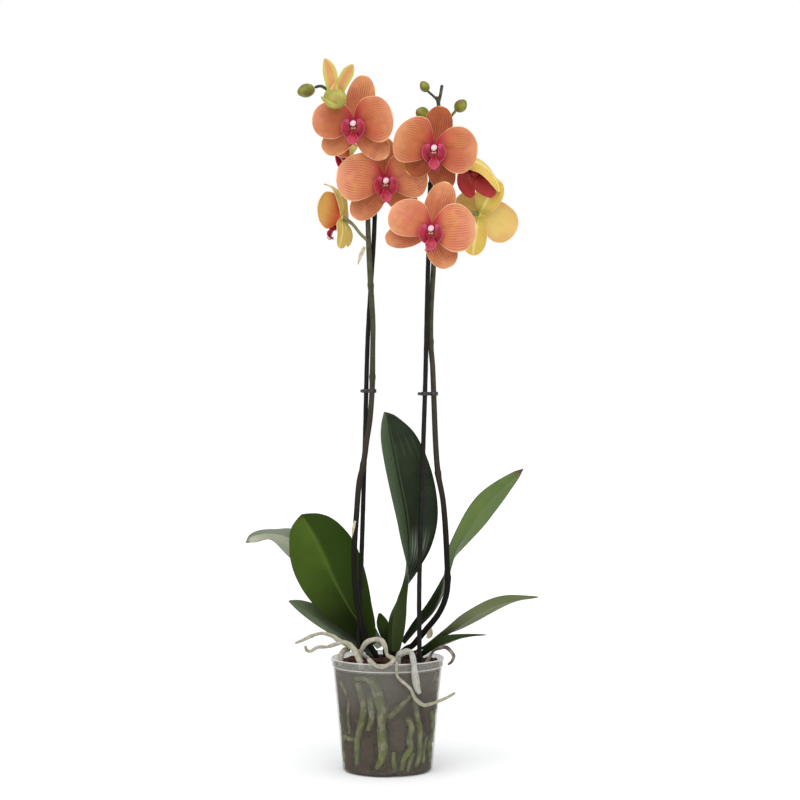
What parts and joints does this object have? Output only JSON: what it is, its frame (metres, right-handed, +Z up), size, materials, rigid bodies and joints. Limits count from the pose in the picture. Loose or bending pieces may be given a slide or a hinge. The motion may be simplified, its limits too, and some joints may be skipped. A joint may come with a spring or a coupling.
{
  "type": "potted orchid",
  "caption": "Staked moth orchid with two arching spikes of salmon blooms over broad leaves, rooted in bark in a clear tapered nursery pot.",
  "frame": {"origin": "centre of the pot's underside, on the surface the pot stands on", "axes": "+Z up along the pot's axis; -Y is the front, the side most flowers face; +X is to the right seen from the front"},
  "size_m": [0.3178, 0.1475, 0.7536],
  "materials": {
    "clear_pot": "clear, slightly milky injection-moulded plastic with scuffs and water film",
    "bark": "damp composted bark chips, red-brown to near black",
    "crown": "short green-brown living stem",
    "stake": "dark coated support stick, slightly rough",
    "clip": "black moulded double-ring clip",
    "flower_stem": "olive-brown waxy flower stem, greener towards the tip",
    "leaf": "thick waxy green leaf, darker above than below",
    "pot_root": "silver-green roots pressed to the pot wall",
    "air_root": "dry silvery beige velamen over green",
    "petal": "salmon-orange satin tepals, veined, pale rim, yellow back",
    "young_petal": "yellow-green opening tepals",
    "lip": "waxy crimson-magenta lip and pale pink column",
    "bud": "yellow-green closed bud with brown flush",
    "dry_bract": "papery dry bract"
  },
  "bodies": {
    "root": {"bark_mix": "bark", "bract_left_high": "dry_bract", "bract_left_low": "dry_bract", "bud_left_tip": "bud", "bud_right_high": "bud", "bud_right_inner": "bud", "bud_right_outer": "bud", "clip_left": "clip", "clip_right": "clip", "crown": "crown", "flower_left_1": "petal", "flower_left_2": "petal", "flower_left_3": "petal", "flower_left_4": "petal", "flower_left_opening": "young_petal", "flower_right_1": "petal", "flower_right_2": "petal", "flower_right_3": "petal", "flower_right_4": "petal", "leaf_back_left": "leaf", "leaf_front_left": "leaf", "leaf_low_left": "leaf", "leaf_low_right": "leaf", "leaf_right": "leaf", "leaf_short_right": "leaf", "leaf_small_back": "leaf", "leaf_tall": "leaf", "lip_left_1": "lip", "lip_left_2": "lip", "lip_left_3": "lip", "lip_left_4": "lip", "lip_right_1": "lip", "lip_right_2": "lip", "lip_right_4": "lip", "pot": "clear_pot", "root_curl_left": "air_root", "root_drop_left": "air_root", "root_dry_right": "air_root", "root_hanging": "air_root", "root_over_rim": "air_root", "root_reach_left": "air_root", "root_rim_loop": "air_root", "root_wall_1": "pot_root", "root_wall_2": "pot_root", "root_wall_3": "pot_root", "root_wall_4": "pot_root", "root_wall_5": "pot_root", "root_wall_6": "pot_root", "root_wall_7": "pot_root", "root_wall_8": "pot_root", "sheath_right_foot": "dry_bract", "spike_left": "flower_stem", "spike_right": "flower_stem", "stake_left": "stake", "stake_right": "stake"}
  },
  "joints": []
}
